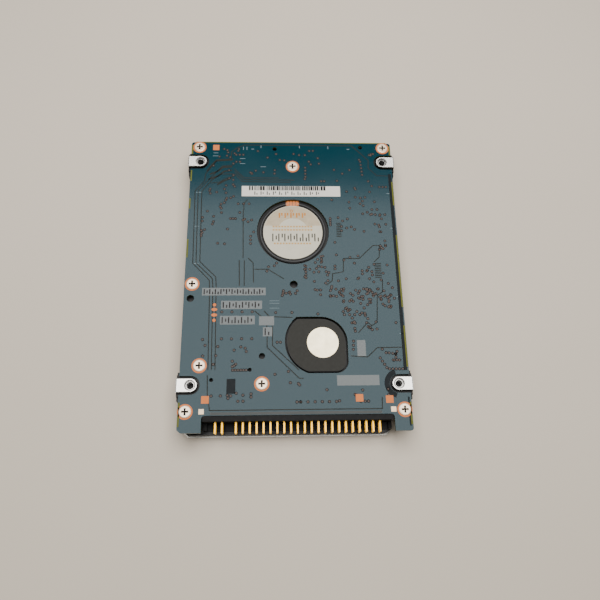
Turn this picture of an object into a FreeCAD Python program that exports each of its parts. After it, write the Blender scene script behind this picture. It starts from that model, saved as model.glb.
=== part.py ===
import FreeCAD, Part

import math
import os
import re

import Sketcher

# A 2.5 inch hard disk drive with a 44-pin parallel header, lying on its top cover.
#
# Millimetres, +Z up, origin at the centre of the footprint on the surface that the cover rests on.
# +Y runs from the pin header towards the far end. The circuit board faces up, so inside the drive
# the cover is at the bottom and the casting's web, with the spindle motor, is at the top.

# ---------------------------------------------------------------------------------------------
# Driving dimensions
# ---------------------------------------------------------------------------------------------
DIMENSIONS = [
    # envelope and mounting pattern of the 2.5 inch form factor
    ("drive_length", 100.0), ("drive_width", 69.85), ("drive_height", 9.5),
    ("mount_span_x", 61.72), ("mount_front", 14.0), ("mount_rear", 90.6),
    ("tap_radius", 1.25), ("tap_depth", 3.5), ("tap_mouth", 1.65), ("side_tap_depth", 2.4),
    ("side_tap_drop", 3.0), ("pad_half", 2.1), ("pad_inner", 28.7), ("block_half", 4.3),
    # levels, measured from the surface that the drive rests on
    ("cover_thick", 0.6), ("rim_level", 1.0), ("ceiling_level", 6.4), ("web_level", 7.25),
    ("board_under", 8.4), ("board_top", 9.2), ("panel_level", 8.87), ("film_thick", 0.08),
    # base casting
    ("body_half", 34.3), ("body_rear", 49.8), ("front_wall", -43.2), ("corner_round", 2.6),
    ("cavity_front", -41.8), ("cavity_half", 32.6), ("cavity_neck", 26.9), ("cavity_step", -31.5),
    ("shelf_front", -49.6), ("shelf_right", 28.6), ("shelf_level", 3.3),
    ("pillar_radius", 3.6), ("pillar_x", 31.6), ("pillar_right_y", -17.0), ("pillar_left_y", -22.0),
    ("corner_screw_x", 31.2), ("rear_screw_y", 46.0), ("front_screw_y", -41.2),
    # spindle
    ("spindle_y", 14.35), ("disk_radius", 32.5), ("disk_bore", 10.0), ("disk_thick", 0.635),
    ("disk_gap", 1.9), ("disk_low", 2.0), ("chamber_radius", 33.0), ("motor_radius", 11.0),
    ("spindle_radius", 2.0), ("running_fit", 0.03),
    # actuator
    ("pivot_x", 8.54), ("pivot_y", -23.16), ("park_angle", 160.7), ("barrel_radius", 5.6),
    ("head_reach", 31.0), ("tab_reach", 33.5), ("sleeve_radius", 4.5), ("bearing_bore", 3.6),
    ("coil_low", 2.8), ("coil_high", 4.4), ("coil_radius", 17.6), ("yoke_radius", 18.2),
    # circuit board and header
    ("board_half", 34.1), ("board_front", -49.8), ("board_rear", 48.3), ("notch_left", -27.2),
    ("notch_right", 28.8), ("notch_back", -44.9), ("pin_pitch", 2.0), ("pin_size", 0.5),
    ("pin_first_x", -23.35), ("pin_high", 7.2), ("pin_low", 5.2), ("pin_tip", -49.7),
    ("boss_radius", 2.3), ("screw_head", 1.8), ("screw_shank", 0.78), ("screw_hole", 0.8),
    # raised panel over the pivot
    ("panel_x", 7.4), ("panel_y", -22.9), ("panel_radius", 10.37), ("panel_right", 16.1),
    ("panel_top", -15.0), ("panel_bottom", -32.7), ("panel_gap", 0.6),
]

# (x, y) of the eight screws that hold the board
BOARD_SCREWS = [
    (-31.35, 46.3), (31.35, 46.3), (0.2, 38.8), (-31.66, -4.06),
    (-28.41, -30.13), (-9.88, -35.75), (-31.95, -43.7), (31.95, -43.7),
]
# (x, y, radius) of the plain holes in the board
BOARD_HOLES = [
    (0.0, -4.27, 1.25), (-32.0, -8.85, 1.15), (-9.88, -27.35, 0.95), (-13.47, -31.49, 0.6),
    (-24.73, -34.48, 0.6), (-5.85, 45.8, 0.75), (23.67, 46.6, 0.7),
]
COLUMNS = 25         # pin positions along the header
EMPTY_COLUMN = 2     # the gap between the jumper pins and the data pins
KEY_COLUMN = 12      # blanked in the upper row
TEETH = 9            # stator teeth

doc = FreeCAD.newDocument("hard_disk_drive")
sheet = doc.addObject("Spreadsheet::Sheet", "dims")
for row, (alias, number) in enumerate(DIMENSIONS, start=1):
    sheet.set("A%d" % row, alias)
    sheet.set("B%d" % row, str(number))
    sheet.setAlias("B%d" % row, alias)
doc.recompute()

ALIASES = {alias for alias, number in DIMENSIONS}
nodes = []


class Sizes:
    """Reads a driving dimension back from the sheet, as in size.drive_length."""

    def __getattr__(self, alias):
        return float(sheet.get(alias))


size = Sizes()
MOUNTS = [("front", "(mount_front - drive_length / 2)"), ("rear", "(mount_rear - drive_length / 2)")]
COVER_SCREWS = [
    (-size.corner_screw_x, size.rear_screw_y), (size.corner_screw_x, size.rear_screw_y),
    (-size.pillar_x, size.pillar_left_y), (size.pillar_x, size.pillar_right_y),
    (-size.corner_screw_x, size.front_screw_y), (size.corner_screw_x, size.front_screw_y),
]


# ---------------------------------------------------------------------------------------------
# Helpers
# ---------------------------------------------------------------------------------------------
def formula(text):
    """A formula with each alias spelled as the sheet's own cell."""
    return re.sub(r"[a-z_]+", lambda w: "dims." + w[0] if w[0] in ALIASES else w[0], str(text))


def bind(thing, prop, text):
    thing.setExpression(prop, formula(text))


def bind_base(thing, x, y, z):
    for axis, place in (("x", x), ("y", y), ("z", z)):
        bind(thing, "Placement.Base." + axis, place)


def value(text):
    """What a formula comes to, worked out in a spare cell of the sheet."""
    sheet.set("D1", "=" + str(text))
    sheet.recompute()
    return float(sheet.get("D1"))


def box(name, x0, x1, y0, y1, z0, z1):
    """A box between two corners; each coordinate is a number or a formula."""
    made = doc.addObject("Part::Box", name)
    for prop, low, high in (("Length", x0, x1), ("Width", y0, y1), ("Height", z0, z1)):
        bind(made, prop, "(%s) - (%s)" % (high, low))
    bind_base(made, x0, y0, z0)
    return made


def cylinder(name, x, y, z0, z1, radius):
    """An upright cylinder."""
    made = doc.addObject("Part::Cylinder", name)
    bind(made, "Radius", radius)
    bind(made, "Height", "(%s) - (%s)" % (z1, z0))
    bind_base(made, x, y, z0)
    return made


def cone(name, x, y, z0, z1, radius0, radius1):
    """An upright cone."""
    made = doc.addObject("Part::Cone", name)
    bind(made, "Radius1", radius0)
    bind(made, "Radius2", radius1)
    bind(made, "Height", "(%s) - (%s)" % (z1, z0))
    bind_base(made, x, y, z0)
    return made


def ring(name, x, y, z0, z1, inner, outer):
    return cut(name, cylinder(name + "_outside", x, y, z0, z1, outer),
               cylinder(name + "_inside", x, y, z0, z1, inner))


def fuse(name, *parts):
    made = doc.addObject("Part::MultiFuse", name)
    made.Shapes = list(parts)
    return made


def cut(name, base, *tools):
    made = doc.addObject("Part::Cut", name)
    made.Base = base
    made.Tool = tools[0] if len(tools) == 1 else fuse(name + "_tools", *tools)
    return made


def common(name, first, second):
    made = doc.addObject("Part::Common", name)
    made.Base = first
    made.Tool = second
    return made


def group(name, *parts):
    """Several separate solids in one sub-part."""
    made = doc.addObject("Part::Compound", name)
    made.Links = list(parts)
    return made


def rounded(name, base, radius, chosen):
    """Rounds the upright edges whose place passes the test."""
    doc.recompute()
    made = doc.addObject("Part::Fillet", name)
    made.Base = base
    edges = []
    for number, edge in enumerate(base.Shape.Edges, start=1):
        ends = [vertex.Point for vertex in edge.Vertexes]
        upright = len(ends) == 2 and math.hypot(ends[0].x - ends[1].x, ends[0].y - ends[1].y) < 1e-6
        if upright and chosen(ends[0].x, ends[0].y):
            edges.append((number, radius, radius))
    made.Edges = edges
    return made


def node(made, label):
    """Marks an object as a sub-part, which is written to its own file."""
    made.Label = label
    nodes.append(made)
    return made


def plane_of(body, role):
    return next(part for part in body.Origin.OriginFeatures if part.Role == role)


def new_sketch(body, name, role):
    sketch = body.newObject("Sketcher::SketchObject", name)
    sketch.AttachmentSupport = [(plane_of(body, role), "")]
    sketch.MapMode = "FlatFace"
    return sketch


def turned(name, profile, x=0, y="spindle_y"):
    """A body of revolution about the upright axis through (x, y).

    The profile is a closed list of (radius, level) corners, each a number or a formula, and every
    corner is held by a pair of named constraints.
    """
    body = doc.addObject("PartDesign::Body", name)
    sketch = new_sketch(body, name + "_profile", "XZ_Plane")
    corners = [FreeCAD.Vector(value(radius), value(level), 0) for radius, level in profile]
    count = len(corners)
    for i in range(count):
        sketch.addGeometry(Part.LineSegment(corners[i], corners[(i + 1) % count]), False)
    for i in range(count):
        sketch.addConstraint(Sketcher.Constraint("Coincident", i, 2, (i + 1) % count, 1))
    for i, (radius, level) in enumerate(profile):
        if corners[i].x == 0:
            sketch.addConstraint(Sketcher.Constraint("PointOnObject", i, 1, -2))
        else:
            at = sketch.addConstraint(Sketcher.Constraint("DistanceX", -1, 1, i, 1, corners[i].x))
            sketch.renameConstraint(at, "radius_%d" % i)
            bind(sketch, "Constraints.radius_%d" % i, radius)
        at = sketch.addConstraint(Sketcher.Constraint("DistanceY", -1, 1, i, 1, corners[i].y))
        sketch.renameConstraint(at, "level_%d" % i)
        bind(sketch, "Constraints.level_%d" % i, level)
    turn = body.newObject("PartDesign::Revolution", name + "_turn")
    turn.Profile = sketch
    turn.ReferenceAxis = (sketch, ["V_Axis"])
    turn.Angle = 360
    bind(body, "Placement.Base.x", x)
    bind(body, "Placement.Base.y", y)
    return body


def padded(name, outlines, z0, z1, x=0, y=0, angle=None):
    """A body padded from closed outlines, the first one outside and the others holes.

    An outline is a list of corners. A corner (x, y) is reached by a straight line, and a corner
    (x, y, via_x, via_y) by an arc through the point given last.
    """
    body = doc.addObject("PartDesign::Body", name)
    sketch = new_sketch(body, name + "_outline", "XY_Plane")
    for outline in outlines:
        start = FreeCAD.Vector(outline[-1][0], outline[-1][1], 0)
        for corner in outline:
            end = FreeCAD.Vector(corner[0], corner[1], 0)
            if len(corner) == 2:
                sketch.addGeometry(Part.LineSegment(start, end), False)
            else:
                sketch.addGeometry(Part.Arc(start, FreeCAD.Vector(corner[2], corner[3], 0), end), False)
            start = end
    pad = body.newObject("PartDesign::Pad", name + "_pad")
    pad.Profile = sketch
    bind(pad, "Length", "(%s) - (%s)" % (z1, z0))
    if angle is not None:
        body.Placement = FreeCAD.Placement(FreeCAD.Vector(), FreeCAD.Rotation(FreeCAD.Vector(0, 0, 1), 1))
        bind(body, "Placement.Rotation.Angle", angle)
    bind_base(body, x, y, z0)
    return body


def polar(radius, degrees):
    return (radius * math.cos(math.radians(degrees)), radius * math.sin(math.radians(degrees)))


def sector(inner, outer, low, high):
    """The outline of part of a ring, between two angles in degrees."""
    middle = (low + high) / 2
    return [
        polar(outer, low),
        polar(outer, high) + polar(outer, middle),
        polar(inner, high),
        polar(inner, low) + polar(inner, middle),
    ]


def about_pivot(radius, degrees):
    """(x, y) of a point given about the pivot, with the heads parked."""
    x, y = polar(radius, degrees)
    return size.pivot_x + x, size.pivot_y + y


def on_arm(name, outlines, z0, z1):
    """A flat piece of the head stack, drawn with the arm along +X and turned to where it parks."""
    return padded(name, outlines, z0, z1, "pivot_x", "pivot_y", "park_angle")


# ---------------------------------------------------------------------------------------------
# Base casting
# ---------------------------------------------------------------------------------------------
def drive_outline(half, rear, front, right):
    """The outline of the cover: square at the far end, with the front right corner stepped back."""
    r = size.corner_round
    k = r * (1 - math.sqrt(0.5))
    return [
        (-half, rear - r), (-half + r, rear, -half + k, rear - k),
        (half - r, rear), (half, rear - r, half - k, rear - k),
        (half, size.front_wall + 1.0), (half - 1.0, size.front_wall, half - 0.3, size.front_wall + 0.3),
        (right, size.front_wall), (right, front + 2.2),
        (right - 2.2, front, right - 0.64, front + 0.64),
        (-half + 2.6, front), (-half, front + 2.6),
    ]


def cavity(name, grow, z0, z1):
    """The inside of the casting, or the same outline grown by a margin."""
    margin = "(%s)" % grow
    whole = fuse(
        name + "_whole",
        cylinder(name + "_chamber", 0, "spindle_y", z0, z1, "chamber_radius + " + margin),
        box(name + "_front", "-cavity_half - " + margin, "cavity_half + " + margin,
            "cavity_step - " + margin, "-4 + " + margin, z0, z1),
        box(name + "_neck", "-cavity_neck - " + margin, "cavity_neck + " + margin,
            "cavity_front - " + margin, "cavity_step + 1", z0, z1),
    )
    pillars = [
        cylinder(name + "_pillar_left", "-pillar_x", "pillar_left_y", z0, z1,
                 "pillar_radius - " + margin),
        cylinder(name + "_pillar_right", "pillar_x", "pillar_right_y", z0, z1,
                 "pillar_radius - " + margin),
    ]
    return cut(name, whole, *pillars)


def panel(name, inset, z0, z1):
    """The raised panel over the pivot: a wide arc on the left and a squarer right side."""
    blank = box(name + "_blank", "panel_x - panel_radius", "panel_right - " + inset,
                "panel_bottom + " + inset, "panel_top - " + inset, z0, z1)
    shrink = value(inset)
    upper = rounded(name + "_upper", blank, 8.2 - shrink,
                    lambda x, y: x > size.panel_x and y > size.panel_y)
    lower = rounded(name + "_lower", upper, 3.7 - shrink,
                    lambda x, y: x > size.panel_x and y < size.panel_y - 7)
    reach = fuse(name + "_reach",
                 cylinder(name + "_arc", "panel_x", "panel_y", z0, z1, "panel_radius - " + inset),
                 box(name + "_side", "panel_x", "panel_right + 1", "panel_bottom - 1", "panel_top + 1",
                     z0, z1))
    return common(name, lower, reach)


def pad_outline(name, side, y, grow, z0, z1):
    """A D-shaped landing round a mounting hole, open to the side of the drive."""
    inner = "pad_inner + pad_half"
    edge = "drive_width / 2" if value(grow) == 0 else "drive_width / 2 + 1"
    low, high = (inner, edge) if side > 0 else ("-(%s)" % edge, "-(%s)" % inner)
    return fuse(
        name,
        box(name + "_strip", low, high, "%s - pad_half - %s" % (y, grow),
            "%s + pad_half + %s" % (y, grow), z0, z1),
        cylinder(name + "_end", inner if side > 0 else "-(%s)" % inner, y, z0, z1, "pad_half + %s" % grow),
    )


block = padded("casting_block", [[
    (-size.body_half, size.front_wall), (-size.body_half, size.body_rear - 2.4),
    (-size.body_half + 2.4, size.body_rear, -size.body_half + 0.7, size.body_rear - 0.7),
    (size.body_half - 2.4, size.body_rear),
    (size.body_half, size.body_rear - 2.4, size.body_half - 0.7, size.body_rear - 0.7),
    (size.body_half, size.front_wall),
]], "rim_level", "web_level")
shelf = padded("casting_shelf", [[
    (-size.body_half, size.front_wall + 0.5), (-size.body_half, size.shelf_front + 2.5),
    (-size.body_half + 2.5, size.shelf_front), (size.shelf_right - 2.2, size.shelf_front),
    (size.shelf_right, size.shelf_front + 2.2, size.shelf_right - 0.64, size.shelf_front + 0.64),
    (size.shelf_right, size.front_wall + 0.5),
]], "rim_level", "shelf_level")
solids = [block, shelf]
holes = []
for side in (-1, 1):
    for end, mount in MOUNTS:
        tag = ("left_" if side < 0 else "right_") + end
        hole_x = "mount_span_x / 2" if side > 0 else "-mount_span_x / 2"
        edge = ("27.6", "drive_width / 2") if side > 0 else ("-drive_width / 2", "-27.6")
        solids.append(box("block_" + tag, edge[0], edge[1], mount + " - block_half",
                          mount + " + block_half", 2, "web_level"))
        solids.append(box("step_" + tag, edge[0], edge[1], mount + " - 3.2", mount + " + 3.2",
                          "web_level - 0.5", "board_under - 0.15"))
        solids.append(pad_outline("pad_" + tag, side, mount, "0", "web_level", "drive_height"))
        holes.append(cylinder("tap_" + tag, hole_x, mount, "drive_height - tap_depth", "drive_height + 1",
                              "tap_radius"))
        holes.append(cone("mouth_" + tag, hole_x, mount, "drive_height - 0.4", "drive_height",
                          "tap_radius", "tap_mouth"))
        tap = doc.addObject("Part::Cylinder", "side_tap_" + tag)
        bind(tap, "Radius", "tap_radius")
        bind(tap, "Height", "side_tap_depth + 1")
        outward = FreeCAD.Rotation(FreeCAD.Vector(0, 1, 0), 90 * side)
        tap.Placement = FreeCAD.Placement(FreeCAD.Vector(), outward)
        bind_base(tap, "%d * (drive_width / 2 - side_tap_depth)" % side, mount, "drive_height - side_tap_drop")
        holes.append(tap)
for i, (x, y) in enumerate(BOARD_SCREWS):
    # The two front bosses stand clear of the shelf, on the corners of the casting.
    if y < size.front_wall:
        continue
    solids.append(cylinder("board_boss_%d" % i, x, y, "web_level - 0.5", "board_under", "boss_radius"))
    holes.append(cylinder("board_tap_%d" % i, x, y, 6.9, "board_under + 1", "screw_hole"))
solids.append(cylinder("front_boss_left", -31.95, -43.7, "rim_level", "board_under", 2.3))
solids.append(cylinder("front_boss_right", 31.95, -43.7, 2.0, "board_under", 2.3))
holes.append(cylinder("front_tap_left", -31.95, -43.7, 6.9, "board_under + 1", "screw_hole"))
holes.append(cylinder("front_tap_right", 31.95, -43.7, 6.9, "board_under + 1", "screw_hole"))
solids.append(cylinder("motor_seat", 0, "spindle_y", "web_level - 0.5", 8.2, "motor_radius + 1.2"))
solids.append(panel("panel_boss", "panel_gap", "web_level - 0.5", "panel_level"))
RAMP_SCREW = about_pivot(38.0, 163.0)
solids.append(cylinder("ramp_boss", RAMP_SCREW[0], RAMP_SCREW[1], "web_level - 0.5", 8.1, 1.9))
for i, (x, y) in enumerate(COVER_SCREWS):
    solids.append(cylinder("cover_boss_%d" % i, x, y, "cover_thick", "rim_level + 1", 2.3))
    holes.append(cylinder("cover_tap_%d" % i, x, y, 0, 4.6, "screw_hole"))
holes += [
    cylinder("motor_bore", 0, "spindle_y", "ceiling_level - 1", 9, "motor_radius"),
    cylinder("ramp_tap", RAMP_SCREW[0], RAMP_SCREW[1], "ceiling_level - 1", 7.7, "screw_hole"),
    cylinder("pivot_screw_bore", "pivot_x", "pivot_y", 7.6, 9, 3.2),
    cylinder("pivot_screw_clearance", "pivot_x", "pivot_y", "ceiling_level - 1", 8, 1.25),
    box("head_connector_slot", -23.6, -14.4, -34.7, -31.3, "ceiling_level - 1", 9),
    box("rear_step", "-drive_width", "drive_width", "board_rear + 0.5", 60, 6.6, 12),
]
outer = fuse("casting_solid", *solids)
# The two pillar screws are inside the cavity's outline, so their lands are added back after it is cut.
hollow = cut("casting_hollow", outer, cavity("casting_cavity", "0", "rim_level - 1", "ceiling_level"))
lifted = fuse("casting_lifted", hollow,
              cylinder("pillar_land_left", "-pillar_x", "pillar_left_y",
                       "cover_thick", "rim_level + 1", 2.3),
              cylinder("pillar_land_right", "pillar_x", "pillar_right_y",
                       "cover_thick", "rim_level + 1", 2.3))
base_casting = node(cut("casting", lifted, *holes), "base_casting")

# ---------------------------------------------------------------------------------------------
# Cover, gasket, cover screws and label
# ---------------------------------------------------------------------------------------------
plate_outline = drive_outline(size.body_half + 0.2, size.drive_length / 2, -size.drive_length / 2,
                              size.shelf_right + 0.4)
plate = padded("cover_plate", [plate_outline], 0, "cover_thick")
cover_cuts = [box("label_recess", -26.5, 26.5, -34, 40, -1, 0.12)]
screws = []
for i, (x, y) in enumerate(COVER_SCREWS):
    cover_cuts.append(cylinder("cover_dimple_%d" % i, x, y, -1, 0.42, 2.25))
    cover_cuts.append(cylinder("cover_hole_%d" % i, x, y, -1, 2, 1.0))
    head = fuse("cover_screw_%d" % i,
                cylinder("cover_screw_head_%d" % i, x, y, 0.06, 0.42, 2.0),
                cylinder("cover_screw_shank_%d" % i, x, y, 0.42, 4.4, "screw_shank"))
    star = [cylinder("cover_screw_star_%d_%d" % (i, k), x + 0.42 * math.cos(k * math.pi / 3),
                     y + 0.42 * math.sin(k * math.pi / 3), -1, 0.34, 0.22) for k in range(6)]
    star.append(cylinder("cover_screw_core_%d" % i, x, y, -1, 0.34, 0.42))
    screws.append(cut("cover_screw_cut_%d" % i, head, *star))
cover_cuts.append(cylinder("breather_hole", -13, -38, -1, 2, 0.5))
node(cut("cover", plate, *cover_cuts), "top_cover")
node(group("cover_screws", *screws), "cover_screws")
node(box("cover_label", -26.3, 26.3, -33.8, 39.8, 0.02, 0.12), "cover_label")
seal = cut("gasket_ring", cavity("gasket_outside", "1.0", "cover_thick", "rim_level"),
           cavity("gasket_inside", "0.1", "cover_thick - 0.5", "rim_level + 0.5"))
node(seal, "cover_gasket")

# ---------------------------------------------------------------------------------------------
# Spindle motor and disks
# ---------------------------------------------------------------------------------------------
bracket = turned("motor_bracket_turned", [
    (0, 7.8), (3.5, 7.8), (3.5, 3.6), (4.4, 3.6), (4.4, 7.0), ("motor_radius - 0.02", 7.0),
    ("motor_radius - 0.02", 8.7), (9.9, 8.7), (9.9, 8.5), (0, 8.5),
])
node(cut("motor_bracket", bracket,
         box("flex_notch", -2.4, 2.4, "spindle_y + 9.7", "spindle_y + 12", 8.2, 9)), "motor_bracket")
node(cylinder("motor_label", 0, "spindle_y", 8.5, 8.6, 9.65), "motor_label")
node(box("motor_flex", -2.2, 2.2, "spindle_y + 9.75", "spindle_y + 14.2", 8.22, 8.34), "motor_flex")
node(turned("bearing_sleeve_turned", [
    (0, 7.5), ("spindle_radius + running_fit", 7.5), ("spindle_radius + running_fit", 3.1),
    (3.5, 3.1), (3.5, 7.8), (0, 7.8),
]), "bearing_sleeve")

core = [ring("core_ring", 0, "spindle_y", 3.9, 4.9, 4.4, 5.4)]
coils = []
for k in range(TEETH):
    angle = k * 360 / TEETH
    core.append(padded("tooth_%d" % k, [[(5.2, -0.6), (7.3, -0.6), (7.3, 0.6), (5.2, 0.6)]],
                       3.9, 4.9, 0, "spindle_y", angle))
    core.append(padded("shoe_%d" % k, [sector(7.2, 8.0, -15, 15)], 3.9, 4.9, 0, "spindle_y", angle))
    winding = padded("winding_block_%d" % k, [[(5.6, -1.2), (7.1, -1.2), (7.1, 1.2), (5.6, 1.2)]],
                     3.3, 5.5, 0, "spindle_y", angle)
    gap = padded("winding_gap_%d" % k, [[(5.5, -0.62), (7.2, -0.62), (7.2, 0.62), (5.5, 0.62)]],
                 3.88, 4.92, 0, "spindle_y", angle)
    coils.append(cut("winding_%d" % k, winding, gap))
node(fuse("stator_core", *core), "stator_core")
node(group("stator_windings", *coils), "stator_windings")

disk_b = "disk_low + disk_thick + disk_gap"
disk_top = "disk_low + 2 * disk_thick + disk_gap"
node(turned("spindle_hub_turned", [
    ("spindle_radius", "disk_low"), ("disk_bore - 0.03", "disk_low"), ("disk_bore - 0.03", disk_top),
    (11.8, disk_top), (11.8, 5.8), (9.1, 5.8), (9.1, 2.9), ("spindle_radius", 2.9),
]), "spindle_hub")
node(turned("spindle_shaft_turned", [
    ("screw_hole", "disk_low"), ("spindle_radius", "disk_low"), ("spindle_radius", 7.4), (0, 7.4),
    (0, 4.6), ("screw_hole", 4.6),
]), "spindle_shaft")
node(ring("rotor_magnet", 0, "spindle_y", 3.0, 5.7, 8.3, 9.1), "rotor_magnet")
node(ring("platter_a", 0, "spindle_y", "disk_low", "disk_low + disk_thick", "disk_bore", "disk_radius"),
     "platter_a")
node(ring("platter_b", 0, "spindle_y", disk_b, disk_top, "disk_bore", "disk_radius"), "platter_b")
node(ring("platter_spacer", 0, "spindle_y", "disk_low + disk_thick", disk_b, "disk_bore", 12.2),
     "platter_spacer")
clamp = turned("clamp_turned", [
    (0.95, 1.5), (11.6, 1.5), (11.6, "disk_low"), (0.95, "disk_low"),
])
dimples = [cylinder("clamp_hole_%d" % k, 7.0 * math.cos(k * math.pi / 3),
                    "spindle_y + %.4f" % (7.0 * math.sin(k * math.pi / 3)), 1, 1.8, 0.9) for k in range(6)]
node(cut("disk_clamp", clamp, *dimples), "disk_clamp")
clamp_screw = turned("clamp_screw_turned", [
    (0, 1.0), (2.0, 1.0), (2.0, 1.5), ("screw_shank", 1.5), ("screw_shank", 4.3), (0, 4.3),
])
star = [cylinder("clamp_star_%d" % k, 0.6 * math.cos(k * math.pi / 3),
                 "spindle_y + %.4f" % (0.6 * math.sin(k * math.pi / 3)), 0.5, 1.35, 0.28) for k in range(6)]
star.append(cylinder("clamp_core", 0, "spindle_y", 0.5, 1.35, 0.6))
node(cut("clamp_screw", clamp_screw, *star), "clamp_screw")

# ---------------------------------------------------------------------------------------------
# Head stack: arm block, coil, suspensions and heads, which all swing about the pivot
# ---------------------------------------------------------------------------------------------
ARMS = [(0.85, 1.40), (3.235, 3.935), (5.77, 6.20)]
# (swage plate low, high), (beam low, high), (slider low, high) of the four heads
HEADS = [
    ((1.40, 1.55), (1.55, 1.65), (1.65, 1.95)),
    ((3.085, 3.235), (2.985, 3.085), (2.685, 2.985)),
    ((3.935, 4.085), (4.085, 4.185), (4.185, 4.485)),
    ((5.62, 5.77), (5.52, 5.62), (5.22, 5.52)),
]
arm_outline = [
    (-3.5, -4.6), (4.0, -5.1), (17.6, -2.6), (19.4, -2.2), (20.4, 0, 20.2, -1.2), (19.4, 2.2, 20.2, 1.2),
    (17.6, 2.6), (4.0, 5.1), (-3.5, 4.6),
]
arm_window = [(8.0, -1.7), (14.5, -1.0), (14.5, 1.0), (8.0, 1.7)]
arms = [cylinder("barrel", "pivot_x", "pivot_y", 0.9, 6.15, "barrel_radius")]
for i, (low, high) in enumerate(ARMS):
    arms.append(on_arm("arm_%d" % i, [arm_outline, arm_window], low, high))
node(cut("arm_block", fuse("arm_block_solid", *arms),
         cylinder("arm_bore", "pivot_x", "pivot_y", 0, 7, "sleeve_radius")), "actuator_arm_block")
node(ring("pivot_sleeve", "pivot_x", "pivot_y", 1.0, 6.1, "bearing_bore", "sleeve_radius"), "pivot_sleeve")

flexures = []
sliders = []
for i, (swage, beam, slider) in enumerate(HEADS):
    flexures.append(on_arm("swage_%d" % i, [[
        (15.6, -2.3), (20.2, -2.1), (20.2, 2.1), (15.6, 2.3)]], swage[0], swage[1]))
    flexures.append(on_arm("beam_%d" % i, [
        [(15.6, -2.3), (20.8, -2.1), (22.4, -2.0), (30.4, -0.75), (31.7, -0.7), (32.2, -0.28),
         (size.tab_reach, -0.28), (size.tab_reach, 0.28), (32.2, 0.28), (31.7, 0.7), (30.4, 0.75),
         (22.4, 2.0), (20.8, 2.1), (15.6, 2.3)],
        [(23.0, -0.8), (27.5, -0.35), (27.5, 0.35), (23.0, 0.8)],
    ], beam[0], beam[1]))
    reach = size.head_reach
    sliders.append(on_arm("slider_%d" % i, [[
        (reach - 0.62, -0.5), (reach + 0.62, -0.5), (reach + 0.62, 0.5), (reach - 0.62, 0.5)]],
        slider[0], slider[1]))
pairs = [fuse("suspension_%d" % i, flexures[2 * i], flexures[2 * i + 1]) for i in range(len(HEADS))]
node(group("suspensions", *pairs), "suspensions")
node(group("head_sliders", *sliders), "head_sliders")

coil = on_arm("voice_coil_padded", [sector(8.0, size.coil_radius, 161, 199), sector(10.6, 15.0, 171, 189)],
              "coil_low", "coil_high")
node(coil, "voice_coil")
frame = on_arm("coil_frame", [sector(4.9, 18.0, 156.5, 203.5)], 2.95, 4.25)
node(cut("overmould", frame,
         on_arm("coil_seat", [sector(8.0, size.coil_radius, 161, 199)], 2, 5),
         cylinder("overmould_bore", "pivot_x", "pivot_y", 2, 5, "barrel_radius")), "coil_overmould")

# Fixed pivot: shaft, two small ball bearings and the screw that holds the shaft to the web
node(cut("pivot_shaft", cylinder("pivot_shaft_bar", "pivot_x", "pivot_y", 0.8, "ceiling_level", 2.0),
         cylinder("pivot_shaft_tap", "pivot_x", "pivot_y", 3.6, 7, 1.2)), "pivot_shaft")
inner_races = []
outer_races = []
balls = []
for i, (low, high) in enumerate(((1.25, 2.35), (4.8, 5.9))):
    inner_races.append(ring("race_in_%d" % i, "pivot_x", "pivot_y", low, high, 2.0, 2.5))
    outer_races.append(ring("race_out_%d" % i, "pivot_x", "pivot_y", low, high, 3.1, "bearing_bore"))
    for k in range(10):
        ball = doc.addObject("Part::Sphere", "ball_%d_%d" % (i, k))
        ball.Radius = 0.28
        bind_base(ball, "pivot_x + %.5f" % (2.8 * math.cos(k * math.pi / 5)),
                  "pivot_y + %.5f" % (2.8 * math.sin(k * math.pi / 5)), (low + high) / 2)
        balls.append(ball)
node(group("pivot_inner_races", *inner_races), "pivot_inner_races")
node(group("pivot_outer_races", *outer_races), "pivot_outer_races")
node(group("pivot_balls", *balls), "pivot_balls")
pivot_screw = turned("pivot_screw_turned", [
    (0, 4.0), (1.18, 4.0), (1.18, 7.6), (2.8, 7.6), (2.8, 8.35), (0, 8.35),
], "pivot_x", "pivot_y")
node(cut("pivot_screw", pivot_screw,
         box("pivot_slot_x", "pivot_x - 1.5", "pivot_x + 1.5", "pivot_y - 0.3", "pivot_y + 0.3", 8.0, 9),
         box("pivot_slot_y", "pivot_x - 0.3", "pivot_x + 0.3", "pivot_y - 1.5", "pivot_y + 1.5", 8.0, 9)),
     "pivot_screw")

# Voice coil motor: two steel yokes on three posts, each carrying a magnet
POSTS = [(13.0, 14.0), (19.6, -38.0), (13.0, -90.5)]
magnet_outline = [sector(8.0, 17.4, -79, 3)]
for label, low, high in (("lower_yoke", 0.8, 1.7), ("upper_yoke", 5.5, "ceiling_level")):
    yoke_outline = sector(7.0, size.yoke_radius, -82, 6)
    pieces = [padded(label + "_plate", [yoke_outline], low, high, "pivot_x", "pivot_y")]
    for i, (radius, degrees) in enumerate(POSTS):
        x, y = about_pivot(radius, degrees)
        pieces.append(cylinder("%s_ear_%d" % (label, i), x, y, low, high, 2.2))
    node(fuse(label, *pieces), label)
node(padded("lower_magnet_padded", magnet_outline, 1.7, 2.45, "pivot_x", "pivot_y"), "lower_magnet")
node(padded("upper_magnet_padded", magnet_outline, 4.75, 5.5, "pivot_x", "pivot_y"), "upper_magnet")
posts = [cylinder("yoke_post_%d" % i, *about_pivot(radius, degrees), 1.7, 5.5, 1.2)
         for i, (radius, degrees) in enumerate(POSTS)]
node(group("yoke_posts", *posts), "yoke_posts")

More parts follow.
